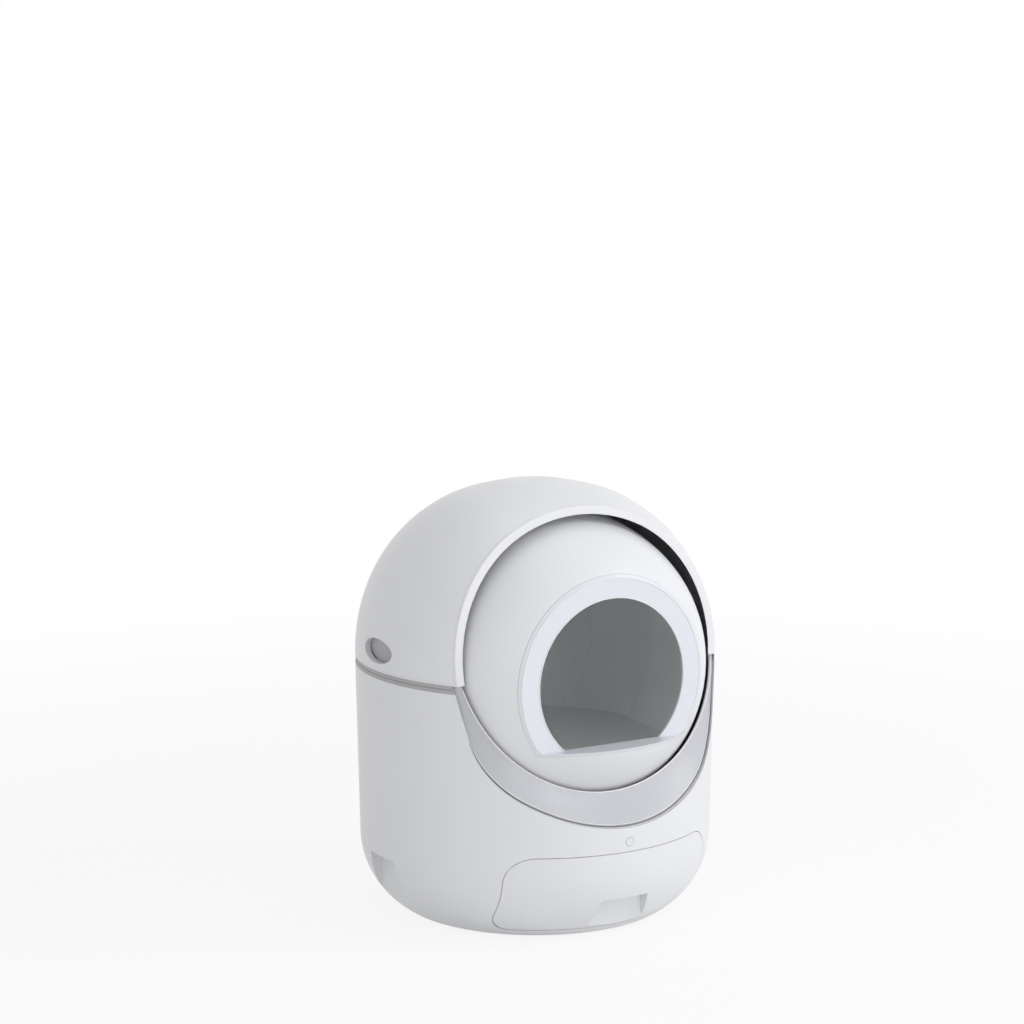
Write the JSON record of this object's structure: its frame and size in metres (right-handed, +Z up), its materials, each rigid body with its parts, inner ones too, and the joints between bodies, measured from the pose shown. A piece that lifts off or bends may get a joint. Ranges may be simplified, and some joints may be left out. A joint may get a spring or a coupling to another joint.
{
  "type": "self-cleaning litter box",
  "caption": "Round self-cleaning litter box: a drum with a front entrance turns in a base with a waste drawer, under a lift-off domed cover with side release tabs.",
  "frame": {"origin": "on the floor, under the middle of the object's box", "axes": "+Z up, the entrance and drawer face -Y, and the drum turns about a line along Y"},
  "size_m": [0.52, 0.516, 0.6179],
  "materials": {
    "white_shell": "satin moulded white plastic",
    "bright_white": "smooth bluish white plastic",
    "gray_liner": "fine-textured gray plastic",
    "gray_bezel": "satin light gray plastic",
    "gray_collar": "satin warm gray plastic",
    "dark_plastic": "moulded dark gray plastic",
    "nylon_gear": "natural nylon",
    "steel": "turned and stamped steel",
    "screw_steel": "zinc-plated screws",
    "rubber": "matt rubber",
    "circuit_board": "solder mask",
    "black_parts": "black moulded parts"
  },
  "bodies": {
    "base": {"base_shell": "white_shell", "bottom_plate": "dark_plastic", "bottom_screws": "screw_steel", "rubber_feet": "rubber", "load_cells": "steel", "support_posts": "dark_plastic", "ledge_screws": "screw_steel", "bowl_liner": "gray_liner", "collar_deck": "gray_collar", "front_bezel": "gray_bezel", "waste_chute": "dark_plastic", "drawer_runners": "dark_plastic", "board_bracket": "dark_plastic", "control_board": "circuit_board", "board_parts": "black_parts", "dc_inlet": "black_parts", "button_housing": "dark_plastic", "button_switch": "black_parts", "drive_housing": "dark_plastic", "gear_cover": "dark_plastic", "gearbox": "steel", "gear_motor": "steel", "motor_mount": "dark_plastic", "roller_cradle_left": "gray_collar", "roller_cradle_right": "gray_collar", "roller_pin_left": "steel", "roller_pin_right": "steel", "tab_bracket_left": "gray_collar", "tab_bracket_right": "gray_collar"},
    "drive_hub": {"drive_hub": "nylon_gear", "drive_shaft": "steel", "hub_gear": "nylon_gear"},
    "pinion": {"pinion": "nylon_gear", "motor_shaft": "steel"},
    "roller_left": {"roller_left": "nylon_gear"},
    "roller_right": {"roller_right": "nylon_gear"},
    "drum": {"front_shell": "white_shell", "entrance_bezel": "bright_white", "rear_shell": "white_shell", "joint_ring": "dark_plastic", "drum_screws": "screw_steel", "drum_liner": "gray_liner", "litter_floor": "gray_liner", "litter_screen": "gray_liner", "port_frame": "gray_liner", "drum_tenon": "nylon_gear"},
    "cover": {"cover_outer": "white_shell", "cover_inner": "gray_liner", "cover_front_rim": "white_shell", "cover_seat_ring": "white_shell", "tab_hole_sleeves": "bright_white"},
    "release_tab_left": {"release_tab_left": "gray_collar"},
    "release_tab_right": {"release_tab_right": "gray_collar"},
    "power_button": {"power_button": "bright_white"},
    "waste_drawer": {"drawer_front": "white_shell", "waste_bin": "dark_plastic", "bin_gasket": "rubber"}
  },
  "joints": [
    {"name": "hub_spin", "type": "hinge", "parent": "base", "child": "drive_hub", "pos_m": [0, 0.193, 0.362], "axis": [0, 1, 0], "range_deg": [0, 360]},
    {"name": "pinion_spin", "type": "hinge", "parent": "base", "child": "pinion", "pos_m": [0, 0.21, 0.346], "axis": [0, 1, 0], "continuous": true},
    {"name": "roller_left_spin", "type": "hinge", "parent": "base", "child": "roller_left", "pos_m": [-0.19963, 0.021, 0.22735], "axis": [0, 1, 0], "continuous": true},
    {"name": "roller_right_spin", "type": "hinge", "parent": "base", "child": "roller_right", "pos_m": [0.19963, 0.021, 0.22735], "axis": [0, 1, 0], "continuous": true},
    {"name": "drum_lift", "type": "slide", "parent": "drive_hub", "child": "drum", "axis": [0, 0, 1], "range_m": [0, 0.2845]},
    {"name": "cover_lift", "type": "slide", "parent": "base", "child": "cover", "axis": [0, 0, 1], "range_m": [0, 0.5856]},
    {"name": "drawer_slide", "type": "slide", "parent": "base", "child": "waste_drawer", "axis": [0, 1, 0], "range_m": [-0.26, 0]},
    {"name": "tab_left_press", "type": "hinge", "parent": "base", "child": "release_tab_left", "pos_m": [-0.248, 0, 0.333], "axis": [0, -1, 0], "range_deg": [-4, 0], "stiffness_Nm_per_rad": 1.5},
    {"name": "tab_right_press", "type": "hinge", "parent": "base", "child": "release_tab_right", "pos_m": [0.248, 0, 0.333], "axis": [0, 1, 0], "range_deg": [-4, 0], "stiffness_Nm_per_rad": 1.5},
    {"name": "button_press", "type": "slide", "parent": "base", "child": "power_button", "axis": [0, -1, 0], "range_m": [-0.0012, 0], "stiffness_N_per_m": 400}
  ],
  "couplings": [
    {"joint": "drum_lift", "follows": "cover_lift", "ratio": 0.48583},
    {"joint": "pinion_spin", "follows": "hub_spin", "ratio": -1.5},
    {"joint": "roller_left_spin", "follows": "hub_spin", "ratio": -25.722},
    {"joint": "roller_right_spin", "follows": "hub_spin", "ratio": -25.722}
  ]
}
